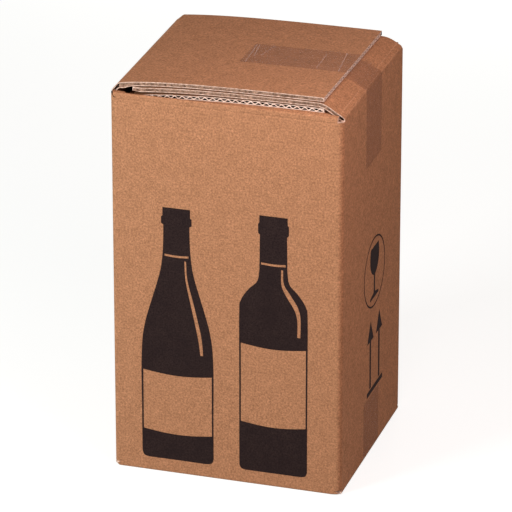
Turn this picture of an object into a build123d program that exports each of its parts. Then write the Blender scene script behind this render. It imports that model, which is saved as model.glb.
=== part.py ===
from build123d import *
import os
from math import asin, atan, atan2, cos, degrees, hypot, radians, sin, tan

# Sizes of the pack, in mm
inside_width = 212.0  # between the left and right walls
inside_depth = 192.0  # between the front and back walls
crease_height = 375.0  # over the outer faces, bottom crease to top crease
board = 4.0  # thickness of the corrugated board

# Corrugation, which shows where the board is cut across its flutes
flute_pitch = 7.2
liner = 0.7  # paper on each face of the board
core = 0.9  # paper of the wave between them
crest = 1.0  # width of the wave's flat crests
flute_depth = 8.0  # how far the open flutes reach in from a cut edge

# Folds and slots of the blank
fold_inner_radius = 0.8  # inside of the creases between walls and flaps
corner_inner_radius = 1.0  # inside of the upright creases between walls
slot_clearance = 0.5  # from a rounded upright corner to the side of a flap
inner_root_slot = 13.0  # sides of the front and back flaps to the left and right faces, near the crease
inner_tip_slot = 20.0  # the same at their free edges
bottom_slot = 12.5  # sides of the outer bottom flaps to the front and back faces
wall_seat = 6.0  # how far down the wall a flap's section starts
flap_cut = 40.0  # height of the cutters that give flaps their outlines, each way from the crease

# How the top flaps lie on each other, from the lowest
back_over_front = 0.4  # air under the back flap
right_over_back = 1.4  # air under the right flap
left_over_right = 1.1  # air under the left flap
right_ramp = 30.0  # degrees, how steeply the outer flaps leave their creases
left_ramp = 46.0
right_bend = 20.0  # inner radius where an outer flap turns level
left_bend = 14.0
top_outer_stop = 20.0  # free edge of the left and right flaps to the far outer face
top_inner_stop = 6.5  # free edge of the front and back flaps to the far outer face

# How the bottom flaps lie on each other, from the lowest
bottom_gap = 0.3  # air between two bottom flaps
right_bottom_ramp = 28.0
inner_bottom_ramp = 60.0
tight_bend = 2.5
bottom_outer_stop = 17.0
bottom_inner_stop = 16.0

# Glued joint of the blank, on the inside of the back wall
tab_width = 35.0
tab_end_gap = 12.0  # from the inner flaps to the ends of the tab
tab_taper = 8.0  # how much shorter the tab is at its free side

# Clear tape
tape = 0.1
tape_width = 50.0
top_tape_start = -11.0  # X of its end on the left flap
top_tape_drop = 77.0  # below the top crease on the right wall
bottom_tape_start = -20.0  # X of its end under the base
bottom_tape_climb = 58.0  # above the bottom crease on the right wall
tape_edge_gap = 0.6  # from the left flap's free edge to where the tape turns down
tape_bend = 0.2  # inner radius there
tiny = 1e-4

# Worked-out sizes
width = inside_width + 2 * board
depth = inside_depth + 2 * board
fold_radius = fold_inner_radius + board / 2
corner_radius = corner_inner_radius + board
base_level = tape
top_level = base_level + crease_height
side_slot = corner_radius + slot_clearance
flap_shoulder = fold_radius + board / 2 + slot_clearance / 2  # a flap is widest from its crease to here

# The front flap dips and the back flap rises so that they lie on each other
inner_rise = board + back_over_front
inner_slope = inner_rise / (depth - board)
right_rise = inner_rise / 2 + board + right_over_back  # at mid-depth
left_rise = right_rise + board + left_over_right
right_bottom_rise = -(board + bottom_gap)
back_bottom_rise = 2 * right_bottom_rise
front_bottom_rise = 3 * right_bottom_rise

floor_level = base_level + board - front_bottom_rise
lid_level = top_level - board - inner_rise

# Each wall: the way inward from it, and half the size of the box along that way
walls = {
    "left": (Vector(1, 0, 0), width / 2),
    "right": (Vector(-1, 0, 0), width / 2),
    "front": (Vector(0, 1, 0), depth / 2),
    "back": (Vector(0, -1, 0), depth / 2),
}


def crease_corner(ramp):
    """Where the middle lines of a wall and of a flap at this angle cross, to keep the crease level."""
    return fold_radius * tan(radians(90 - ramp) / 2) - fold_radius


def fold_points(climb, last_slope, reach):
    """Corners and bend radii of a flap's middle line, measured in from the wall and out from the crease."""
    first_ramp = climb[0][0] if climb else degrees(atan(last_slope))
    points = [(0.0, -fold_radius - wall_seat), (0.0, crease_corner(first_ramp))]
    radii = [fold_radius]
    for ramp, rise, bend in climb:
        inward, outward = points[-1]
        points.append((inward + (rise - outward) / tan(radians(ramp)), rise))
        radii.append(bend)
    inward, outward = points[-1]
    end = reach - board / 2
    points.append((end, outward + (end - inward) * last_slope))
    return points, radii


def offset_points(points, radii, distance):
    """The same line moved to its outer side, with its bends kept on the same centres."""
    spots = [Vector(*point) for point in points]
    ways = [(b - a).normalized() for a, b in zip(spots, spots[1:])]
    sides = [Vector(-way.Y, way.X) for way in ways]
    moved = [spots[0] + sides[0] * distance]
    bends = []
    for i, spot in enumerate(spots[1:-1]):
        before, after = sides[i], sides[i + 1]
        moved.append(spot + (before + after) * (distance / (1 + before.dot(after))))
        turns_outward = ways[i].cross(ways[i + 1]).Z > 0
        bends.append(radii[i] - distance if turns_outward else radii[i] + distance)
    moved.append(spots[-1] + sides[-1] * distance)
    return moved, bends


def sheet_face(points, radii, thickness):
    """Section of a bent sheet around its middle line."""
    outer_points, outer_bends = offset_points(points, radii, thickness / 2)
    inner_points, inner_bends = offset_points(points, radii, -thickness / 2)
    outer = FilletPolyline(*outer_points, radius=outer_bends)
    inner = FilletPolyline(*inner_points, radius=inner_bends)
    return make_face([outer, inner, Line(outer @ 0, inner @ 0), Line(outer @ 1, inner @ 1)])


def hinge_plane(wall, level, outward):
    """Plane of a flap's section: first axis inward from the wall's middle, second out of the box."""
    inward, half = walls[wall]
    origin = inward * (board / 2 - half) + Vector(0, 0, level - outward * board / 2)
    return Plane(origin, x_dir=inward, z_dir=inward.cross(Vector(0, 0, outward)))


def flute_ends(edge, length):
    """Open flutes of a cut edge: two rows of hollows, turned against each other, with the wave between."""
    rise = board / 2 - liner
    wide = flute_pitch / 2 - core
    narrow = crest / 2
    corners = [(-wide, rise), (wide, rise), (narrow, core - rise), (-narrow, core - rise)]
    hollow = make_face(Polyline(*corners, close=True))
    steps = int(length / flute_pitch) - 1
    row = [Pos(step * flute_pitch) * hollow for step in centred(steps)]
    turned = [Pos(step * flute_pitch) * Rot(0, 0, 180) * hollow for step in centred(steps + 1)]
    return extrude(edge * Sketch(row + turned), flute_depth)


def centred(count):
    """Steps either side of zero."""
    return [i - (count - 1) / 2 for i in range(count)]


def flap(wall, top, climb, slope, stop, root_slot, tip_slot):
    """A flap with its crease: it ends short of the far outer face and of the faces beside it."""
    half = walls[wall][1]
    along = (depth if wall in ("left", "right") else width) / 2
    reach = 2 * half - stop
    level, outward = (top_level, 1) if top else (base_level, -1)
    points, radii = fold_points(climb, slope, reach)
    sheet = extrude(sheet_face(points, radii, board), along - side_slot, both=True)
    side = [
        (0.0, along - side_slot),
        (flap_shoulder, along - side_slot),
        (flap_shoulder, along - root_slot),
        (reach, along - tip_slot),
    ]
    other_side = [(inset, -across) for inset, across in reversed(side)]
    outline = make_face(Polyline(*side, *other_side, close=True))
    plan = Plane((-board / 2, 0, 0), x_dir=(1, 0, 0), z_dir=(0, 1, 0))
    sheet &= extrude(plan * outline, flap_cut, both=True)
    edge = Plane(points[-1], x_dir=(0, 0, 1), z_dir=(-1, -slope, 0))
    sheet -= flute_ends(edge, 2 * (along - tip_slot))
    return hinge_plane(wall, level, outward) * sheet


def lid_body(lift, ramp, rise, slope, bend, reach, half, drop):
    """What a sheet over a crease covers: up the wall, up a ramp and then level, tipped along the crease."""
    body = Pos(-lift, -drop, -half) * Box(reach, drop + 3 * rise, 2 * half, align=Align.MIN)
    ramp_way = Vector(-sin(radians(ramp)), cos(radians(ramp)), 0)
    ramp_plane = Plane(Vector(0, crease_corner(ramp), 0) + ramp_way * lift, z_dir=ramp_way)
    top_way = Vector(0, 1, -slope).normalized()
    top_plane = Plane(Vector(0, rise, 0) + top_way * lift, z_dir=top_way)
    wall_plane = Plane((-lift, 0, 0), z_dir=(-1, 0, 0))
    for cut in (ramp_plane, top_plane):
        body = split(body, bisect_by=cut, keep=Keep.BOTTOM)
    body = fillet(edges_between(body, wall_plane, ramp_plane), fold_radius + lift)
    return fillet(edges_between(body, ramp_plane, top_plane), bend)


def edges_between(body, first, second):
    """Edges that lie in both planes."""

    def lies_in(edge, plane):
        return all(abs(plane.to_local_coords(edge @ end).Z) < tiny for end in (0, 1))

    return body.edges().filter_by(lambda edge: lies_in(edge, first) and lies_in(edge, second))


def lid_sheet(lift, thickness, ramp, rise, slope, bend, reach, half, drop):
    """A sheet over the top crease of a wall, whose inner face lies this far outside the board's middle."""
    whole = lid_body(lift + thickness, ramp, rise, slope, bend + thickness, reach, half, drop)
    hollow = lid_body(lift, ramp, rise, slope, bend, 2 * reach, 2 * half, 2 * drop)
    return whole - hollow


def lid_flap(wall, ramp, rise, slope, bend):
    """An outer top flap: it climbs over the flaps below it and lies level on them."""
    reach = width - top_outer_stop
    half = depth / 2 - side_slot
    sheet = lid_sheet(-board / 2, board, ramp, rise, slope, bend, reach, half, fold_radius + wall_seat)
    edge = Plane((reach - board / 2, rise, 0), x_dir=(0, slope, 1), z_dir=(-1, 0, 0))
    return hinge_plane(wall, top_level, 1) * (sheet - flute_ends(edge, 2 * half))


# Carton: four walls, their glue tab and eight flaps of one sheet
wall_bottom = base_level + board / 2 + fold_radius
wall_top = top_level - board / 2 - fold_radius
ring = RectangleRounded(width, depth, corner_radius)
ring -= RectangleRounded(inside_width, inside_depth, corner_inner_radius)
shell = extrude(Pos(0, 0, wall_bottom) * ring, wall_top - wall_bottom)

tab_low = floor_level + tab_end_gap
tab_high = lid_level - tab_end_gap
tab_outline = Polyline(
    (inside_width / 2, tab_low),
    (inside_width / 2, tab_high),
    (inside_width / 2 - tab_width, tab_high - tab_taper),
    (inside_width / 2 - tab_width, tab_low + tab_taper),
    close=True,
)
back_inside = Plane((0, inside_depth / 2, 0), x_dir=(1, 0, 0), z_dir=(0, -1, 0))
shell += extrude(back_inside * make_face(tab_outline), board)

right_bottom_climb = [(-right_bottom_ramp, right_bottom_rise, tight_bend)]
back_bottom_climb = [(-inner_bottom_ramp, back_bottom_rise, tight_bend)]
front_bottom_climb = [(-inner_bottom_ramp, front_bottom_rise, tight_bend)]
flaps = [
    flap("front", True, [], -inner_slope, top_inner_stop, inner_root_slot, inner_tip_slot),
    flap("back", True, [], inner_slope, top_inner_stop, inner_root_slot, inner_tip_slot),
    lid_flap("right", right_ramp, right_rise, -inner_slope, right_bend),
    lid_flap("left", left_ramp, left_rise, inner_slope, left_bend),
    flap("left", False, [], 0.0, bottom_outer_stop, bottom_slot, bottom_slot),
    flap("right", False, right_bottom_climb, 0.0, bottom_outer_stop, bottom_slot, bottom_slot),
    flap("back", False, back_bottom_climb, 0.0, bottom_inner_stop, inner_root_slot, inner_tip_slot),
    flap("front", False, front_bottom_climb, 0.0, bottom_inner_stop, inner_root_slot, inner_tip_slot),
]
carton = shell + flaps

# Top tape: along the left flap, down from its free edge to the right crease, and down the right wall
tape_half = tape_width / 2
edge_in = top_outer_stop - board / 2 - tape_edge_gap - fold_radius
edge_out = left_rise + tape_half * inner_slope + board / 2 + fold_radius
crease_part = asin((fold_radius + board / 2) / hypot(edge_in, edge_out))
tape_ramp = degrees(atan2(edge_out, edge_in) - crease_part)
tape_reach = width / 2 - top_tape_start
top_strip = lid_sheet(
    board / 2, tape, tape_ramp, left_rise, -inner_slope, tape_bend, tape_reach, tape_half, top_tape_drop
)
top_tape = hinge_plane("right", top_level, 1) * top_strip

# Bottom tape: along the left bottom flap, round the right crease and up the right wall
under_points = [
    (0.0, board / 2 - bottom_tape_climb),
    (0.0, 0.0),
    (width / 2 - bottom_tape_start - board / 2, 0.0),
]
under_line = offset_points(under_points, [fold_radius], (board + tape) / 2)
under_section = hinge_plane("right", base_level, -1) * sheet_face(*under_line, tape)
bottom_tape = extrude(under_section, tape_half, both=True)

os.makedirs("parts", exist_ok=True)
export_step(carton, "parts/carton.step")
export_step(top_tape, "parts/top_tape.step")
export_step(bottom_tape, "parts/bottom_tape.step")
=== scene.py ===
import math

import bmesh
import bpy
from mathutils import Matrix, Vector, noise
from mathutils.bvhtree import BVHTree


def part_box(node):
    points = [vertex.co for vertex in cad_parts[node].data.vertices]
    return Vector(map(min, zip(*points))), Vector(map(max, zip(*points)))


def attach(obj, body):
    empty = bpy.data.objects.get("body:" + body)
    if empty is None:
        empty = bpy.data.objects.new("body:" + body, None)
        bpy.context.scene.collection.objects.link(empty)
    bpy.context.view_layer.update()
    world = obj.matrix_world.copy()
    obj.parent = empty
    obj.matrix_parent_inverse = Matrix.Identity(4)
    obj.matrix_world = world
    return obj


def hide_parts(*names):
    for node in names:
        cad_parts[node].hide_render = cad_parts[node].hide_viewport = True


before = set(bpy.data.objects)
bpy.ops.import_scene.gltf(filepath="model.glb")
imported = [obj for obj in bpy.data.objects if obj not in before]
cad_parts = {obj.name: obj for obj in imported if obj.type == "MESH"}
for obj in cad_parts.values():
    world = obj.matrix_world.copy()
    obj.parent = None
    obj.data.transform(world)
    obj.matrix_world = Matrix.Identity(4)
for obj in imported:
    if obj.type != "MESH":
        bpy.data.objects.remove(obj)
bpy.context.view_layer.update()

MM = 0.001
X, Y, Z = range(3)
DOWN = Vector((0, 0, -1))
FAR_ABOVE = 1.0  # height from which rays look down

# Places on the carton and its tapes, in metres
carton_low, carton_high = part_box("carton")
top_tape_low, top_tape_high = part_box("top_tape")
bottom_tape_low, bottom_tape_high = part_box("bottom_tape")
half_width = carton_high.x
half_depth = carton_high.y
tape_half = top_tape_high.y
crease_bottom = carton_low.z
crease_top = crease_bottom + 375 * MM
lid_bottom = crease_top - 6 * MM  # top flaps and their folds lie above this
fold_radius = 4.8 * MM  # outside of the creases between walls and flaps
outer_edge = half_width - 20 * MM  # free edges of the left and right top flaps
inner_edge = half_depth - 6.5 * MM  # free edges of the front and back top flaps
outer_edge_low = half_width - 17 * MM  # the same under the base
inner_edge_low = half_depth - 16 * MM
side_limit = half_depth - 6 * MM  # sides of the left and right flaps
flute_depth = 8 * MM
mouth = 0.5 * MM  # lit part of the flutes at the upper flap's free edge
skin = 0.01 * MM  # points nearer than this lie on a wall's outer face


# Materials

COLOUR_A, COLOUR_B, COLOUR_OUT = 6, 7, 2  # colour sockets of a mix node
NOISE_SPAN = (0.3, 0.7)  # where most values of a noise lie
WHITE = (1, 1, 1)


def shader(name):
    """A new material with its node tree and its surface shader."""
    material = bpy.data.materials.new(name)
    material.use_nodes = True
    tree = material.node_tree
    return material, tree, tree.nodes["Principled BSDF"]


def node(tree, kind, inputs=None, **settings):
    """A node with its settings and its input values or links."""
    made = tree.nodes.new(kind)
    for key, value in settings.items():
        setattr(made, key, value)
    for key, value in (inputs or {}).items():
        if isinstance(value, bpy.types.NodeSocket):
            tree.links.new(value, made.inputs[key])
        else:
            made.inputs[key].default_value = value
    return made


def paper_noise(tree, scale, detail, roughness=0.6, stretch=(1, 1, 1)):
    """Noise in the object's own space, stretched along its axes."""
    place = node(tree, "ShaderNodeTexCoord").outputs["Object"]
    mapped = node(tree, "ShaderNodeMapping", {"Vector": place, "Scale": stretch}).outputs["Vector"]
    inputs = {"Vector": mapped, "Scale": scale, "Detail": detail, "Roughness": roughness}
    return node(tree, "ShaderNodeTexNoise", inputs).outputs["Fac"]


def spread(tree, value, span, result):
    """A value moved from one range to another."""
    inputs = {"Value": value}
    inputs["From Min"], inputs["From Max"] = span
    inputs["To Min"], inputs["To Max"] = result
    return node(tree, "ShaderNodeMapRange", inputs).outputs["Result"]


def combined(tree, operation, first, second):
    """Two values put together."""
    return node(tree, "ShaderNodeMath", {0: first, 1: second}, operation=operation).outputs["Value"]


def mixed(tree, share, first, second, blend="MIX"):
    """Two colours put together."""
    inputs = {"Factor": share, COLOUR_A: first, COLOUR_B: second}
    return node(tree, "ShaderNodeMix", inputs, data_type="RGBA", blend_type=blend).outputs[COLOUR_OUT]


def tinted(tree, colour, value):
    """A colour made lighter or darker by a value around one."""
    grey = node(tree, "ShaderNodeCombineColor", {"Red": value, "Green": value, "Blue": value})
    return mixed(tree, 1.0, colour, grey.outputs["Color"], "MULTIPLY")


def kraft(name, pale, deep, grain, bump, cloud_scale=90):
    """Kraft paper: fibre grain, mottling, flecks and a slightly uneven surface."""
    material, tree, surface = shader(name)
    fibre = paper_noise(tree, scale=560, detail=4, roughness=0.75)
    mottle = paper_noise(tree, scale=270, detail=3, roughness=0.7)
    cloud = paper_noise(tree, scale=cloud_scale, detail=3)
    fleck = paper_noise(tree, scale=900, detail=1)
    mottling = grain / 5
    fibre_shade = spread(tree, fibre, NOISE_SPAN, (1 - grain, 1 + grain))
    mottle_shade = spread(tree, mottle, NOISE_SPAN, (1 - mottling, 1 + mottling))
    fleck_shade = spread(tree, fleck, (0.24, 0.3), (0.78, 1))
    shade = combined(tree, "MULTIPLY", combined(tree, "MULTIPLY", fibre_shade, mottle_shade), fleck_shade)
    paper = mixed(tree, spread(tree, cloud, (0.35, 0.65), (0, 1)), (*pale, 1), (*deep, 1))
    tree.links.new(tinted(tree, paper, shade), surface.inputs["Base Color"])
    tree.links.new(spread(tree, fibre, NOISE_SPAN, (0.62, 0.78)), surface.inputs["Roughness"])
    height = node(tree, "ShaderNodeBump", {"Height": fibre, "Strength": bump, "Distance": 0.2 * MM})
    tree.links.new(height.outputs["Normal"], surface.inputs["Normal"])
    surface.inputs["Specular IOR Level"].default_value = 0.04
    return material


def ink_material():
    """Printing ink on kraft: dark, with paper fibres showing through."""
    material, tree, surface = shader("ink")
    fibre = paper_noise(tree, scale=620, detail=3, roughness=0.7)
    cloud = paper_noise(tree, scale=60, detail=2)
    fibre_share = spread(tree, fibre, (0.35, 0.72), (0, 1))
    cloud_share = spread(tree, cloud, NOISE_SPAN, (0.5, 1))
    bare = combined(tree, "MULTIPLY", fibre_share, cloud_share)
    colour = mixed(tree, bare, (0.02, 0.014, 0.015, 1), (0.05, 0.034, 0.03, 1))
    tree.links.new(colour, surface.inputs["Base Color"])
    tree.links.new(spread(tree, fibre, NOISE_SPAN, (0.55, 0.72)), surface.inputs["Roughness"])
    surface.inputs["Specular IOR Level"].default_value = 0.01
    return material


def film(name, colour, alpha, roughness):
    """Clear adhesive film, with faint smears in its gloss."""
    material, tree, surface = shader(name)
    smear = paper_noise(tree, scale=90, detail=3, stretch=(0.3, 1, 0.3))
    shade = tinted(tree, (*colour, 1), spread(tree, smear, NOISE_SPAN, (0.85, 1.15)))
    gloss = spread(tree, smear, NOISE_SPAN, (roughness, roughness + 0.15))
    tree.links.new(shade, surface.inputs["Base Color"])
    tree.links.new(gloss, surface.inputs["Roughness"])
    surface.inputs["Alpha"].default_value = alpha
    surface.inputs["Specular IOR Level"].default_value = 0.3
    return material


# Papers of the board, in the order of their material slots
LINER, LINING, CUT_EDGE, SHADED_FLUTE, CORE, FLUTE_END, TAPED, PAINTED_HIGHLIGHT = range(8)
papers = [
    kraft("kraft liner", (0.485, 0.253, 0.133), (0.43, 0.222, 0.115), grain=0.44, bump=0.9),
    kraft("kraft inside", (0.42, 0.19, 0.1), (0.39, 0.172, 0.088), grain=0.3, bump=0.5),
    kraft("cut paper", (0.84, 0.68, 0.56), (0.5, 0.34, 0.25), grain=0.25, bump=0.8, cloud_scale=330),
    # near-black painted shade for the open flute hollows and the hollow fold ends
    kraft("flute hollows painted shade", (0.045, 0.026, 0.017), (0.03, 0.018, 0.012), grain=0.2, bump=0.5),
    kraft("core paper", (0.52, 0.36, 0.26), (0.15, 0.09, 0.06), grain=0.4, bump=0.8, cloud_scale=300),
    kraft("flute ends", (0.92, 0.79, 0.68), (0.7, 0.54, 0.43), grain=0.1, bump=0.5, cloud_scale=300),
    kraft("kraft under film", (0.395, 0.2, 0.11), (0.345, 0.177, 0.096), grain=0.3, bump=0.4),
    # pale painted highlight for the lines along the right crease
    kraft("kraft painted highlight", (0.56, 0.31, 0.175), (0.5, 0.272, 0.15), grain=0.44, bump=0.9),
]
ink = ink_material()
clear_film = film("clear film", (0.2, 0.11, 0.075), alpha=0.03, roughness=0.3)
film_crease = film("film crease", (0.7, 0.46, 0.35), alpha=0.4, roughness=0.35)


# Mesh tools

SMOOTH_LIMIT = math.radians(30)  # faces that meet at less than this run on smoothly
FLAT_LIMIT = math.radians(0.2)
MERGE = 1e-6
TINY = 1e-7


def shown(name, bm, materials):
    """A scene object from finished geometry."""
    mesh = bpy.data.meshes.new(name)
    bm.to_mesh(mesh)
    bm.free()
    for material in materials:
        mesh.materials.append(material)
    made = bpy.data.objects.new(name, mesh)
    bpy.context.scene.collection.objects.link(made)
    return made


def smooth_faces(bm):
    """Smooth shading, with sharp edges at the folds and cuts."""
    for face in bm.faces:
        face.smooth = True
    for edge in bm.edges:
        edge.smooth = edge.calc_face_angle(0) < SMOOTH_LIMIT


def steps(first, last, size):
    """Evenly spaced places strictly between two ends, about this far apart."""
    count = max(1, round((last - first) / size))
    return [first + (last - first) * i / count for i in range(1, count)]


def cut_up(bm, axis, places):
    """Cuts every face at these places along one axis."""
    normal = Vector((0, 0, 0))
    normal[axis] = 1
    for place in places:
        everything = bm.verts[:] + bm.edges[:] + bm.faces[:]
        bmesh.ops.bisect_plane(bm, geom=everything, dist=TINY, plane_co=normal * place, plane_no=normal)


def cad_mesh(name):
    """The node's surface as it was packed."""
    bm = bmesh.new()
    bm.from_mesh(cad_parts[name].data)
    return bm


def cad_shape(name):
    """The node's surface as clean flat faces."""
    bm = cad_mesh(name)
    bmesh.ops.remove_doubles(bm, verts=bm.verts[:], dist=MERGE)
    bmesh.ops.dissolve_limit(
        bm, angle_limit=FLAT_LIMIT, use_dissolve_boundaries=False, verts=bm.verts[:], edges=bm.edges[:]
    )
    bm.normal_update()
    return bm


def flood(seed, index):
    """Gives one material to all faces that run on smoothly from a first one."""
    seed.material_index = index
    todo = [seed]
    done = {seed}
    while todo:
        face = todo.pop()
        for edge in face.edges:
            for other in edge.link_faces:
                if other not in done and edge.calc_face_angle(math.pi) < SMOOTH_LIMIT:
                    other.material_index = index
                    done.add(other)
                    todo.append(other)


def fade(value, start, end):
    """Zero before the start, one after the end, and smooth between them."""
    share = min(1, max(0, (value - start) / (end - start)))
    return share * share * (3 - 2 * share)


def decay(value, reach):
    """One at zero, and less and less further on."""
    return math.exp(-value / reach)


def bell(value, middle, width):
    """One at the middle, and near zero further than about two widths from it."""
    return math.exp(-(((value - middle) / width) ** 2))


def ramp(inward, end, blend):
    """A straight rise from zero to one, rounded where it ends."""
    start = end - blend
    if inward < start:
        return inward / end
    share = min(1, (inward - start) / (2 * blend))
    return (start + 2 * blend * (share - share * share / 2)) / end


# Even cuts along each axis, so that walls, print and tape bend alike
grid = 9 * MM
fold_clear = 5 * MM  # from a crease to the nearest of these cuts
grid_places = [
    steps(-half_width, half_width, grid),
    steps(-half_depth, half_depth, grid),
    steps(crease_bottom + fold_clear, crease_top - fold_clear, grid),
]
score_cut = 0.85 * MM  # finer cuts, where the score lines are


# Stack of top flaps: how far closing presses it up or down, in metres

carton_tree = BVHTree.FromBMesh(cad_mesh("carton"))
flap_side = half_depth - 7 * MM  # rays that measure the left flap stay inside this
flap_tip = outer_edge - 1 * MM
flap_root = 0.05 * MM - half_width

left_fold, left_fold_round = 6.3 * MM, 1.5 * MM  # width and rounding of the sharp fold at the left crease
full_rise = 1.06  # height of the settled left flap, as a share of the straight one
late_rise, late_rise_reach = 0.6, 48 * MM  # part of it that comes slowly, after the fold
lift_end = (2 * MM, 24 * MM)  # from the right crease, where the left flap's lift ends

bent_stretch = 20 * MM  # from the left wall, where the flaps are too bent to tell by their depth
fold_stretch = 13 * MM  # from the left wall, where only the left flap and its fold are
bent_level = 5 * MM  # lower flaps lie below this there
left_flap_depth = 4.35 * MM  # what lies deeper is under the left flap
right_flap_depth = 9.6 * MM  # what lies deeper is under the right flap too
left_sag, left_sag_reach = 1.0 * MM, 60 * MM  # the flaps sag apart towards the left
right_sag, right_sag_reach = 3.0 * MM, 45 * MM

fold_level = (-14 * MM, -4 * MM)  # a fold takes part from here up
flap_level = (-13 * MM, -9 * MM)  # a flap takes part from here up
fold_side = 5.3 * MM  # a fold's points are nearer to its wall's face than this
corner_width = (1 * MM, 4 * MM)
inner_fold_width = (1.5 * MM, 5.5 * MM)  # how the front and back folds join the stack
inner_fold_length = (8 * MM, 24 * MM)

right_lift, right_lift_reach = 1.3 * MM, 4 * MM  # the right crease stands up a little
right_lift_sides = (4 * MM, 14 * MM)


def flap_top(x, y):
    """Height of the straight left top flap above the crease."""
    over = Vector((min(flap_tip, max(flap_root, x)), min(flap_side, max(-flap_side, y)), FAR_ABOVE))
    return carton_tree.ray_cast(over, DOWN)[0].z - crease_top


def left_flap_lift(point):
    """From the straight left flap to the settled one, which rises in a sharp fold and then slowly."""
    from_left, from_right = half_width + point.x, half_width - point.x
    share = full_rise - late_rise * decay(from_left, late_rise_reach)
    wanted = flap_top(0, point.y) * share * ramp(from_left, left_fold, left_fold_round)
    return (wanted - flap_top(point.x, point.y)) * fade(from_right, *lift_end)


def lower_flap_sag(point):
    """How far the flaps under the left one lie away from it."""
    from_left, above = half_width + point.x, point.z - crease_top
    if from_left > bent_stretch:
        depth = flap_top(point.x, point.y) - above
        under_left = depth > left_flap_depth
        under_right = depth > right_flap_depth
    else:
        under_left = above < bent_level and from_left > fold_stretch
        under_right = under_left
    sag = left_sag * decay(from_left, left_sag_reach) if under_left else 0
    if under_right:
        sag += right_sag * decay(from_left, right_sag_reach)
    return sag


def stack_share(point):
    """How much of the stack's lift a point takes: all of it in a flap, and less in a fold and down a wall."""
    from_left, from_end = half_width + point.x, half_depth - abs(point.y)
    above = point.z - crease_top
    if from_end < fold_side:
        at_corner = (1 - fade(from_left, *corner_width)) * fade(above, *fold_level)
        in_fold = fade(from_end, *inner_fold_width) * fade(from_left, *inner_fold_length)
        return max(at_corner, in_fold * fade(above, *flap_level))
    return fade(above, *(fold_level if from_left < fold_stretch else flap_level))


def stack_lift(point):
    """How far closing the box moves this point up."""
    from_right, from_end = half_width - point.x, half_depth - abs(point.y)
    crease_lift = right_lift * decay(from_right, right_lift_reach) * fade(from_end, *right_lift_sides)
    lift = left_flap_lift(point) - lower_flap_sag(point)
    return lift * stack_share(point) + crease_lift * fade(point.z - crease_top, *fold_level)


# Score lines along the left and right top creases, in metres

score_height, score_pitch = 0.16 * MM, 3.4 * MM
score_start = (3.5 * MM, 5 * MM)  # in from the wall's face
score_end = (13 * MM, 17 * MM)
score_level = (-1 * MM, 0)
groove_depth, groove_place = 0.45 * MM, 1.2 * MM  # groove along the crease, measured in and up from its edge
lip_height, lip_place = 0.25 * MM, -0.9 * MM  # and its raised lip
groove_width = 0.7 * MM
groove_end = (5 * MM, 7 * MM)
groove_level = (-6 * MM, -4 * MM)


def scored(point):
    """Shift by the fine ridges and the groove that scoring leaves."""
    inward, above = half_width - abs(point.x), point.z - crease_top
    outward = Vector((math.copysign(1, point.x), 0, 1)).normalized()
    strength = fade(inward, *score_start) * (1 - fade(inward, *score_end)) * fade(above, *score_level)
    ridges = score_height * strength * math.sin(2 * math.pi * inward / score_pitch)
    across = inward + above
    groove = groove_depth * bell(across, groove_place, groove_width)
    groove -= lip_height * bell(across, lip_place, groove_width)
    near_crease = (1 - fade(inward, *groove_end)) * fade(above, *groove_level)
    return outward * (ridges - groove * near_crease)


# Walls, folds and corners after handling, in metres

wave_scale, wave_height = 9, 0.35 * MM  # slight unevenness of the walls
wave_ends = 30 * MM  # it fades towards the creases
wave_sides = (6 * MM, 30 * MM)
dent_depth, dent_drop, dent_width = 0.3 * MM, 5.9 * MM, 1 * MM  # line pressed in below the top crease
fold_power = 6  # how square the folds are pressed
corner_side = 5.4 * MM  # the ends of a fold are further from the next face than this
fold_end = (5.5 * MM, 14 * MM)  # stretch of a fold that reaches out at its end
bottom_end_reach = Vector((3.2, 2.4)) * MM  # how far the bottom folds' ends reach, along X and along Y
bottom_end_level = (fold_radius, 2 * MM)
left_end_reach = 2.6 * MM  # the same at the top left corners
left_end_drop = (fold_radius, 3 * MM)
edge_near = 0.1 * MM
ragged_scale, ragged = 250, 0.4 * MM  # unevenness of the free edges that show their flutes at the front
ragged_seed = 7  # so that it is the same each run
noise.seed_set(ragged_seed)

# Knocked bottom corners at the front: which side, and how far the flat spot reaches in, back and up
knocks = [
    (-1, Vector((5.8, 5.8, 5.0)) * MM),
    (1, Vector((13.0, 7.0, 2.0)) * MM),
]
knock_cuts = (0.3, 0.6, 0.9)  # cuts through each flat spot, as shares of its reach
knock_torn = 0.75  # share of it where the outer paper is torn


def sharpened(away, inward):
    """A point of a right-angled fold, in from both faces, with the fold pressed sharper."""
    across, along = fold_radius - away, fold_radius - inward
    if across <= 0 or along <= 0:
        return away, inward
    reach = math.hypot(across, along)
    grow = ((across / reach) ** fold_power + (along / reach) ** fold_power) ** (-1 / fold_power)
    return fold_radius - across * grow, fold_radius - along * grow


def wall_shift(point):
    """How far a wall's face stands out: its unevenness, less the line below the top crease."""
    from_side, from_end = half_width - abs(point.x), half_depth - abs(point.y)
    wave = abs(noise.noise(point * wave_scale)) * wave_height
    wave *= fade(point.z - crease_bottom, 0, wave_ends) * fade(crease_top - point.z, 0, wave_ends)
    dent = dent_depth * bell(crease_top - point.z, dent_drop, dent_width)
    shift = Vector((0, 0, 0))
    if from_side < skin:
        shift.x = math.copysign(1, point.x) * (wave * fade(from_end, *wave_sides) - dent)
    if from_end < skin:
        shift.y = math.copysign(1, point.y) * (wave * fade(from_side, *wave_sides) - dent)
    return shift


def fold_end_share(away, along):
    """One at the end of a fold and zero further along it or outside it."""
    if away > fold_side or along < corner_side:
        return 0
    return 1 - fade(along, *fold_end)


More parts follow.
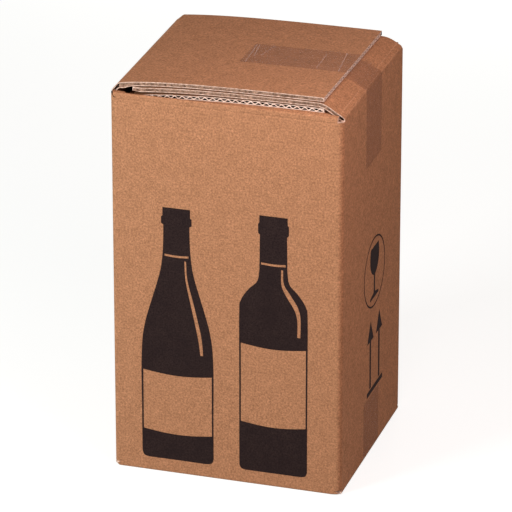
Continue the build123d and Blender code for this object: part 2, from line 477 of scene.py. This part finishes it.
def bottom_folded(point):
    """A point of the bottom folds, pressed sharper, with their ends reaching into the corners."""
    from_side, from_end = half_width - abs(point.x), half_depth - abs(point.y)
    up = point.z - crease_bottom
    side, side_up = sharpened(from_side, up)
    end, end_up = sharpened(from_end, up)
    share = fade(up, *bottom_end_level)
    side -= bottom_end_reach.x * share * fold_end_share(from_end, from_side)
    end -= bottom_end_reach.y * share * fold_end_share(from_side, from_end)
    x = math.copysign(half_width - side, point.x)
    y = math.copysign(half_depth - end, point.y)
    return Vector((x, y, crease_bottom + min(side_up, end_up)))


def top_folded(point, shifted):
    """A point of the front and back top folds, pressed sharper, with their left ends reaching out."""
    from_side, from_end = half_width - abs(point.x), half_depth - abs(point.y)
    end, drop = sharpened(from_end, crease_top - point.z)
    x = shifted.x
    if point.x < 0:
        x -= left_end_reach * fold_end_share(from_end, from_side) * fade(drop, *left_end_drop)
    return Vector((x, math.copysign(half_depth - end, point.y), crease_top - drop))


def knock_share(point, knock):
    """Zero at a knocked corner and one where its flat spot ends."""
    side, reach = knock
    return (half_width - side * point.x) / reach.x + (half_depth + point.y) / reach.y + point.z / reach.z


def knocked(point):
    """A point pressed back to the flat spots of the knocked corners."""
    for knock in knocks:
        share = knock_share(point, knock)
        if share < 1:
            side, reach = knock
            slant = Vector((-side / reach.x, 1 / reach.y, 1 / reach.z))
            point = point + slant * ((1 - share) / slant.length_squared)
    return point


def settled(point):
    """Where a point of the straight carton lies after folding, closing and handling."""
    place = point + wall_shift(point)
    if point.z < crease_bottom + fold_radius:
        place = bottom_folded(point)
    elif crease_top - fold_radius < point.z < crease_top:
        place = top_folded(point, place)
    place.z += stack_lift(place)
    if point.z > lid_bottom and abs(point.y) < side_limit:
        place += scored(point)
    if point.z > lid_bottom and abs(abs(point.y) - inner_edge) < edge_near:
        place += noise.noise_vector(point * ragged_scale) * ragged
    return knocked(place)


# Carton: one folded sheet, with its papers, cut edges and open flutes told apart

edge_skin = 0.3 * MM  # faces nearer than this lie on a free edge
flute_start, flute_spare = 0.05 * MM, 0.1 * MM
flute_sides = side_limit - 2 * MM
corner_reach = Vector((7, 9)) * MM  # hollow ends of the folds at the top corners, painted dark as shade
side_area = 200 * MM * MM  # the long sides of the outer top flaps are larger than this
side_liner, side_sink, side_slope = 0.8 * MM, 1.2 * MM, 0.1 * MM
highlight_low = crease_top - 3 * MM
highlight_edge = 0.8 * MM  # painted highlight line along the right crease, in from the wall's face
highlight_score = (4.5 * MM, 5.34 * MM)  # and the one beside it
level_face = 0.9  # least upward part of a level face's normal
film_face = 0.3  # the same, for faces that a tape covers
square_face = 0.99  # least part of a normal along an axis, for faces square to it
crease_zone = 17 * MM  # finer cuts from here to each side crease
crease_edge = 2 * MM
edge_zone, edge_cut = 2.3 * MM, 0.4 * MM
lid_zone, lid_cut = 8.3 * MM, 0.6 * MM  # finer cuts below the top creases
board = 4 * MM


def in_flute(centre):
    """True inside an open flute end, a little way in from a flap's free edge, where dark shade is painted."""
    is_top = centre.z > crease_top / 2
    outer = outer_edge if is_top else outer_edge_low
    inner = inner_edge if is_top else inner_edge_low
    for along, across, edge in ((centre.x, centre.y, outer), (centre.y, centre.x, inner)):
        depth = edge - abs(along)
        if flute_start < depth < flute_depth + flute_spare and abs(across) < flute_sides:
            return True
    return False


def in_mouth(centre):
    """True a little way into the flutes of the upper flap's free edge."""
    return centre.z > crease_top and outer_edge - mouth < centre.x < outer_edge


def on_free_edge(centre):
    """True on the cut that ends the flutes of a top flap."""
    if centre.z < lid_bottom:
        return False
    return min(abs(abs(centre.x) - outer_edge), abs(abs(centre.y) - inner_edge)) < edge_skin


def in_shaded_fold_end(face):
    """True in the hollow end of a fold at a corner of the top, where shade is painted dark."""
    centre = face.calc_center_median()
    from_side, from_end = half_width - abs(centre.x), half_depth - abs(centre.y)
    if centre.z < lid_bottom or from_side > corner_reach.x or from_end > corner_reach.y:
        return False
    sunk = centre.x < 0 and face.material_index == CUT_EDGE and face.normal.z > level_face
    return sunk or face.material_index == CORE


def under_film(face):
    """True on the outer paper where a tape covers it."""
    centre = face.calc_center_median()
    if face.material_index != LINER or abs(centre.y) > tape_half:
        return False
    if centre.x > half_width - fold_radius:
        return centre.z > top_tape_low.z or centre.z < bottom_tape_high.z
    start = top_tape_low.x if face.normal.z > 0 else bottom_tape_low.x
    return centre.x > start and abs(face.normal.z) > film_face


def on_highlight_line(face):
    """True on the lines along the right crease where a highlight is painted pale on the outer paper."""
    centre = face.calc_center_median()
    if face.material_index != LINER or abs(centre.y) > side_limit or centre.z < highlight_low:
        return False
    inward = half_width - centre.x
    return inward < highlight_edge or highlight_score[0] < inward < highlight_score[1]


def tell_papers(bm):
    """Gives the outside, the inside and the cut edges of the sheet their materials."""
    for face in bm.faces:
        face.material_index = CUT_EDGE
    outside = min(bm.faces, key=lambda face: face.calc_center_median().y + (1 - face.normal.dot((0, -1, 0))))
    flood(outside, LINER)
    inner_wall = Vector((0, board - half_depth, crease_top / 2))
    inside = min(
        (face for face in bm.faces if face.normal.y > square_face),
        key=lambda face: (face.calc_center_median() - inner_wall).length - face.calc_area(),
    )
    flood(inside, LINING)


def tell_flutes(bm):
    """Gives the open flutes their near-black painted shade and their ends their materials."""
    for face in bm.faces:
        centre = face.calc_center_median()
        if face.material_index == CUT_EDGE and in_flute(centre):
            face.material_index = SHADED_FLUTE
        elif face.material_index == CUT_EDGE and on_free_edge(centre):
            face.material_index = FLUTE_END


def open_sides(bm):
    """Sinks the core between the two papers along the sides of the outer top flaps."""
    sides = [
        face
        for face in bm.faces
        if face.material_index == CUT_EDGE
        and abs(face.normal.y) > square_face
        and face.calc_center_median().z > crease_top
    ]
    for face in sides:
        if face.calc_area() > side_area:
            bmesh.ops.inset_region(bm, faces=[face], thickness=side_liner, use_even_offset=True)
            sunk_walls = bmesh.ops.inset_region(
                bm, faces=[face], thickness=side_slope, depth=-side_sink, use_even_offset=True
            )
            for sunk in sunk_walls["faces"] + [face]:
                sunk.material_index = CORE


def light_mouths(bm):
    """Pales the flutes of the upper flap's free edge where light still reaches into them."""
    cut_up(bm, X, [outer_edge - mouth])
    for face in bm.faces:
        if face.material_index == SHADED_FLUTE and in_mouth(face.calc_center_median()):
            face.material_index = FLUTE_END


def cut_board(bm):
    """Cuts the sheet where it will bend, and along the outlines of the tapes."""
    near_crease = steps(half_width - crease_zone, half_width - crease_edge, score_cut)
    near_edge = steps(half_width - edge_zone, half_width, edge_cut)
    cut_up(bm, X, grid_places[X])
    for side in (-1, 1):
        cut_up(bm, X, [side * place for place in near_crease + near_edge])
    cut_up(bm, Y, grid_places[Y])
    cut_up(bm, Z, grid_places[Z])
    cut_up(bm, Z, steps(crease_top - lid_zone, crease_top, lid_cut))
    cut_up(bm, X, [top_tape_low.x, bottom_tape_low.x])
    cut_up(bm, Y, [-tape_half, tape_half])
    cut_up(bm, Z, [top_tape_low.z, bottom_tape_high.z])


def paint_shade_tape_and_highlights(bm):
    """Paints shade into the hollow fold ends, darkens the paper under the tapes, and paints a highlight on
    the lines along the right crease.
    """
    for face in bm.faces:
        if in_shaded_fold_end(face):
            face.material_index = SHADED_FLUTE
        elif under_film(face):
            face.material_index = TAPED
        elif on_highlight_line(face):
            face.material_index = PAINTED_HIGHLIGHT


def tear_corners(bm):
    """Cuts the knocked corners finely and bares their torn paper."""
    for side, reach in knocks:
        cut_up(bm, X, [side * (half_width - reach.x * share) for share in knock_cuts])
        cut_up(bm, Y, [reach.y * share - half_depth for share in knock_cuts])
        cut_up(bm, Z, [reach.z * share for share in knock_cuts])
    for face in bm.faces:
        centre = face.calc_center_median()
        if face.material_index == LINER and min(knock_share(centre, knock) for knock in knocks) < knock_torn:
            face.material_index = CUT_EDGE


def carton_board():
    """The folded sheet as it stands after closing and handling."""
    bm = cad_shape("carton")
    tell_papers(bm)
    tell_flutes(bm)
    open_sides(bm)
    light_mouths(bm)
    cut_board(bm)
    paint_shade_tape_and_highlights(bm)
    tear_corners(bm)
    for vert in bm.verts:
        vert.co = settled(vert.co)
    smooth_faces(bm)
    made = shown("carton_board", bm, papers)
    even = made.modifiers.new("even shading", "WEIGHTED_NORMAL")
    even.keep_sharp = True
    return made


carton = carton_board()
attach(carton, "root")
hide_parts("carton")


# Outlines of the print, in millimetres


def smooth_line(points, count=10):
    """A smooth line through points."""
    line = []
    for i in range(len(points) - 1):
        around = (points[max(i - 1, 0)], points[i], points[i + 1], points[min(i + 2, len(points) - 1)])
        line += [smooth_point(around, step / count) for step in range(count)]
    return line + [points[-1]]


def smooth_point(around, share):
    """A place between the middle two of four points, on the smooth line through them."""
    return tuple(
        0.5
        * (
            2 * b
            + (c - a) * share
            + (2 * a - 5 * b + 4 * c - d) * share**2
            + (3 * b - a - 3 * c + d) * share**3
        )
        for a, b, c, d in zip(*around)
    )


def mirrored(half):
    """A closed outline from its right half, bottom to top."""
    return half + [(-x, y) for x, y in reversed(half)]


def placed(loop, across, up, scale=1.0):
    """An outline moved to its place on the wall."""
    return [(across + x * scale, up + y * scale) for x, y in loop]


def sagging(first, last, level, sag, count=12):
    """A line from side to side, curved as on a round bottle."""
    shares = [i / count for i in range(count + 1)]
    return [(first + (last - first) * share, level - sag * math.sin(math.pi * share)) for share in shares]


def panel(half, bottom, top, sag):
    """A label's outline on a round bottle."""
    return sagging(-half, half, bottom, sag) + sagging(half, -half, top, sag)


def ring(radius, count=48):
    """A round outline."""
    turn = 2 * math.pi / count
    return [(radius * math.cos(i * turn), radius * math.sin(i * turn)) for i in range(count)]


def bar(half, bottom, top):
    """A rectangular outline."""
    return [(-half, bottom), (half, bottom), (half, top), (-half, top)]


label_sag, collar_sag = 3.5, 0.8
curve_steps = 6  # points from one given point to the next on a small curve


def gleam(outer, inner):
    """A narrow curved outline, between its outer line upwards and its inner line downwards."""
    return smooth_line(outer, curve_steps) + smooth_line(inner, curve_steps)


def sloping_bottle():
    """A bottle with sloping shoulders: its outline, bare label, gleam and collar."""
    body = [(33, 0), (38, 1.4), (40.2, 6), (40.5, 14), (40.5, 60), (40.5, 118), (37, 155), (26, 195)]
    neck = [(26, 195), (18.5, 222), (15.5, 245), (14.6, 268)]
    lip = [(14.6, 276), (17, 277.5), (17, 285), (15.4, 286.5), (15.4, 296), (0, 296)]
    return [
        mirrored([(0, 0)] + smooth_line(body) + smooth_line(neck)[1:] + lip),
        panel(38.6, 34, 104, label_sag),
        gleam(
            [(29, 128), (27, 150), (19, 186), (12, 214), (10.5, 236)],
            [(8.6, 236), (9.8, 214), (15.4, 186), (23, 150), (26, 128)],
        ),
        panel(13.4, 240, 242.4, collar_sag),
    ]


def square_bottle():
    """A bottle with square shoulders, with the same parts."""
    body = [(31, 0), (35.7, 1.3), (37.7, 5.4), (38, 12), (38, 100), (38, 184), (36, 200)]
    shoulder = [(28, 213), (18, 224), (15.5, 238)]
    lip = [(15, 278), (17, 280), (17, 290), (15.6, 292), (15.6, 300), (0, 300)]
    return [
        mirrored([(0, 0)] + smooth_line(body + shoulder) + lip),
        panel(36.2, 58, 150, label_sag),
        gleam(
            [(30, 164), (30, 186), (27, 199), (19, 212), (11.6, 224), (10.6, 240)],
            [(8.6, 240), (9, 222), (15, 209), (23, 196), (26.5, 184), (26.5, 164)],
        ),
        panel(13.6, 244, 246.4, collar_sag),
    ]


def glass_sign():
    """A stemmed glass in a ring."""
    foot = [(0, -26), (14, -26), (14, -23.5), (3, -21), (2, -17), (2, -3)]
    bowl = smooth_line([(2, -3), (9, 1), (14, 9), (14.5, 18), (13, 26)], curve_steps)
    return [ring(35), ring(33.3), mirrored(foot + bowl + [(0, 26)])]


def upright_sign():
    """Two arrows on a bar."""
    arrow = [(-2.4, 0), (2.4, 0), (2.4, 48), (10.5, 48), (0, 69), (-10.5, 48), (-2.4, 48)]
    half_gap = 14.5
    return [placed(arrow, -half_gap, 0), placed(arrow, half_gap, 0), placed(bar(26, -6.5, -1.5), 0.5, 0)]


# Print: across and up from a wall's middle bottom, in millimetres

bottle_scale = 0.86
bottle_foot = 14.0
front_loops = [placed(loop, -47.5, bottle_foot, bottle_scale) for loop in sloping_bottle()]
front_loops += [placed(loop, 45.0, bottle_foot, bottle_scale) for loop in square_bottle()]
side_loops = [placed(loop, 7, 182) for loop in glass_sign()]
side_loops += [placed(loop, 10.5, 67) for loop in upright_sign()]

ink_height = 0.06 * MM  # above the wall's face
# Each printed wall: how a flat shape is turned onto it, the axis along it and the axis out of it
walls = {
    "front": (Matrix(((1, 0, 0, 0), (0, 0, -1, -half_depth), (0, 1, 0, 0), (0, 0, 0, 1))), X, Y),
    "right": (Matrix(((0, 0, 1, half_width), (1, 0, 0, 0), (0, 1, 0, 0), (0, 0, 0, 1))), Y, X),
}


def flat_shape(loops, thickness):
    """Thin closed geometry from closed outlines, the inner ones as holes."""
    curve = bpy.data.curves.new("outline", "CURVE")
    curve.dimensions = "2D"
    curve.fill_mode = "BOTH"
    curve.extrude = thickness / 2
    for loop in loops:
        spline = curve.splines.new("POLY")
        spline.points.add(len(loop) - 1)
        for point, (across, up) in zip(spline.points, loop):
            point.co = (across * MM, up * MM, 0, 1)
        spline.use_cyclic_u = True
    shape = bpy.data.objects.new("outline", curve)
    bpy.context.scene.collection.objects.link(shape)
    bpy.context.view_layer.update()
    mesh = bpy.data.meshes.new_from_object(shape.evaluated_get(bpy.context.evaluated_depsgraph_get()))
    bm = bmesh.new()
    bm.from_mesh(mesh)
    bpy.data.objects.remove(shape)
    bpy.data.curves.remove(curve)
    bpy.data.meshes.remove(mesh)
    bmesh.ops.remove_doubles(bm, verts=bm.verts[:], dist=TINY)
    return bm


def printed(name, wall, loops):
    """Ink on a wall, which follows its unevenness."""
    turn, along, outward = walls[wall]
    bm = flat_shape(loops, 2 * ink_height)
    bmesh.ops.transform(bm, matrix=turn, verts=bm.verts[:])
    for axis in (along, Z):
        cut_up(bm, axis, grid_places[axis])
    for vert in bm.verts:
        on_wall = vert.co.copy()
        on_wall[outward] = turn.translation[outward]
        vert.co += settled(on_wall) - on_wall
    made = shown(name, bm, [ink])
    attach(made, "root")


printed("front_print", "front", front_loops)
printed("side_print", "right", side_loops)


# Tapes

film_gap = 0.04 * MM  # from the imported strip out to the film
film_zone = 16 * MM  # finer cuts from here to the right crease
crease_half, crease_height = 0.4 * MM, 0.16 * MM  # half width and height of a crease in the film
crease_steps = 10
blunt_end = 0.6  # part of a step by which a crease's ends are cut short
CREASE = 1  # material slot

# Creases in the film on top, each from one place to another, in millimetres
film_creases = [
    ((-5.3, -24.5), (-8.9, 24.5)),
    ((-2.4, -7.1), (-6.4, 24.5)),
    ((3.3, -4.6), (7.9, 24.5)),
    ((61.3, -22.4), (60.2, 16.1)),
    ((83, -24.5), (76.9, 24.5)),
]


def raise_crease(bm, tree, start, end):
    """A raised crease on the film, from one place to another."""
    start, end = Vector(start) * MM, Vector(end) * MM
    across = Vector((end.y - start.y, start.x - end.x)).normalized() * crease_half
    rows = []
    for i in range(crease_steps + 1):
        middle = start.lerp(end, i / crease_steps)
        height = tree.ray_cast(Vector((*middle, FAR_ABOVE)), DOWN)[0].z
        share = (i + blunt_end) / (crease_steps + 2 * blunt_end)
        crest = height + crease_height * math.sin(math.pi * share)
        row = [(*(middle - across), height), (*middle, crest), (*(middle + across), height)]
        rows.append([bm.verts.new(place) for place in row])
    faces = [bm.faces.new(rows[0]), bm.faces.new(reversed(rows[-1]))]
    for one, other in zip(rows, rows[1:]):
        for i in range(len(one)):
            faces.append(bm.faces.new((one[i - 1], one[i], other[i], other[i - 1])))
    for face in faces:
        face.material_index = CREASE
    bmesh.ops.recalc_face_normals(bm, faces=faces)


def tape_film(name, on_top, creases=()):
    """A strip of film just clear of the board, which follows the wall and, on top, the settled flaps."""
    bm = cad_shape(name)
    tree = BVHTree.FromBMesh(cad_mesh(name))
    for start, end in creases:
        raise_crease(bm, tree, start, end)
    cut_up(bm, X, grid_places[X])
    cut_up(bm, X, steps(half_width - film_zone, half_width - crease_edge, score_cut))
    cut_up(bm, Y, steps(-tape_half, tape_half, grid))
    cut_up(bm, Z, grid_places[Z])
    for vert in bm.verts:
        flat = vert.co.copy()
        if flat.x > half_width - skin:
            flat.x = half_width
            vert.co += settled(flat) - flat
            vert.co.x += film_gap
        elif on_top:
            vert.co = settled(flat)
            vert.co.z += film_gap
    smooth_faces(bm)
    made = shown(name + "_film", bm, [clear_film, film_crease])
    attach(made, "root")
    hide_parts(name)


tape_film("top_tape", True, film_creases)
tape_film("bottom_tape", False)


# Floor and surroundings: white where they are seen, and dimmer as light


def seen(tree):
    """One for rays that show the surroundings: from the camera, from gloss or through film."""
    rays = node(tree, "ShaderNodeLightPath").outputs
    value = rays["Is Camera Ray"]
    for other in ("Is Glossy Ray", "Is Transmission Ray"):
        value = combined(tree, "MAXIMUM", value, rays[other])
    return value


def pale_floor(half, grey, glow, strength):
    """A plain floor that keeps the object's shadow."""
    material, tree, surface = shader("floor")
    surface.inputs["Base Color"].default_value = (grey, grey, grey, 1)
    surface.inputs["Roughness"].default_value = 0.9
    surface.inputs["Specular IOR Level"].default_value = 0.0
    surface.inputs["Emission Color"].default_value = (*glow, 1)
    tree.links.new(combined(tree, "MULTIPLY", seen(tree), strength), surface.inputs["Emission Strength"])
    bm = bmesh.new()
    bmesh.ops.create_grid(bm, x_segments=1, y_segments=1, size=half)
    return shown("floor", bm, [material])


def surroundings(colour, strength):
    """A soft light of this colour from all around, which looks white."""
    world = bpy.data.worlds.new("studio")
    bpy.context.scene.world = world
    world.use_nodes = True
    tree = world.node_tree
    background = tree.nodes["Background"]
    share = seen(tree)
    tree.links.new(spread(tree, share, (0, 1), (strength, 1)), background.inputs["Strength"])
    tree.links.new(mixed(tree, share, (*colour, 1), (*WHITE, 1)), background.inputs["Color"])


def lamp(name, place, target, size, power, colour=WHITE):
    """A soft square lamp."""
    light = bpy.data.lights.new(name, "AREA")
    light.size = size
    light.energy = power
    light.color = colour
    made = bpy.data.objects.new(name, light)
    bpy.context.scene.collection.objects.link(made)
    made.location = place
    made.visible_camera = False
    made.rotation_mode = "QUATERNION"
    made.rotation_quaternion = (Vector(target) - Vector(place)).to_track_quat("-Z", "Y")


pale_floor(half=30, grey=0.5, glow=(0.95, 1, 1), strength=0.77)
surroundings(colour=(1, 0.71, 0.6), strength=0.24)
lamp("key", (-0.8, -1.15, 0.62), (-0.03, -0.1, 0.22), size=0.5, power=13.8)
lamp("top", (0.2, -0.25, 0.72), (0.05, -0.05, 0.39), size=0.25, power=0.9, colour=(1, 0.84, 0.84))
lamp("side", (0.62, -0.5, 0.8), (0.1, 0, 0.3), size=0.35, power=2.5, colour=(1, 0.67, 0.64))
lamp("back", (-0.3, 2.0, 0.2), (0, 0, 0.18), size=0.4, power=12)


# Camera at the photograph's viewing angle

azimuth, elevation = math.radians(17.33), math.radians(23.60)
distance = 4.185
picture_px, focal_px = 512, 4490.3  # width of the picture, and the focal length in the same pixels
sensor = 36  # mm
aim_left, aim_down = 2.67 * MM, 1.53 * MM  # from the middle of the walls, across the view

away = Vector((math.sin(azimuth), -math.cos(azimuth), 0)) * math.cos(elevation)
away.z = math.sin(elevation)
right = Vector((math.cos(azimuth), math.sin(azimuth), 0))
up = away.cross(right)
middle = Vector((0, 0, (crease_bottom + crease_top) / 2))
lens = bpy.data.cameras.new("camera")
lens.lens = focal_px / picture_px * sensor
lens.sensor_width = sensor
camera = bpy.data.objects.new("camera", lens)
bpy.context.scene.collection.objects.link(camera)
camera.location = middle - right * aim_left - up * aim_down + away * distance
camera.rotation_mode = "QUATERNION"
camera.rotation_quaternion = (-away).to_track_quat("-Z", "Y")
bpy.context.scene.camera = camera
bpy.context.scene.view_settings.view_transform = "Standard"
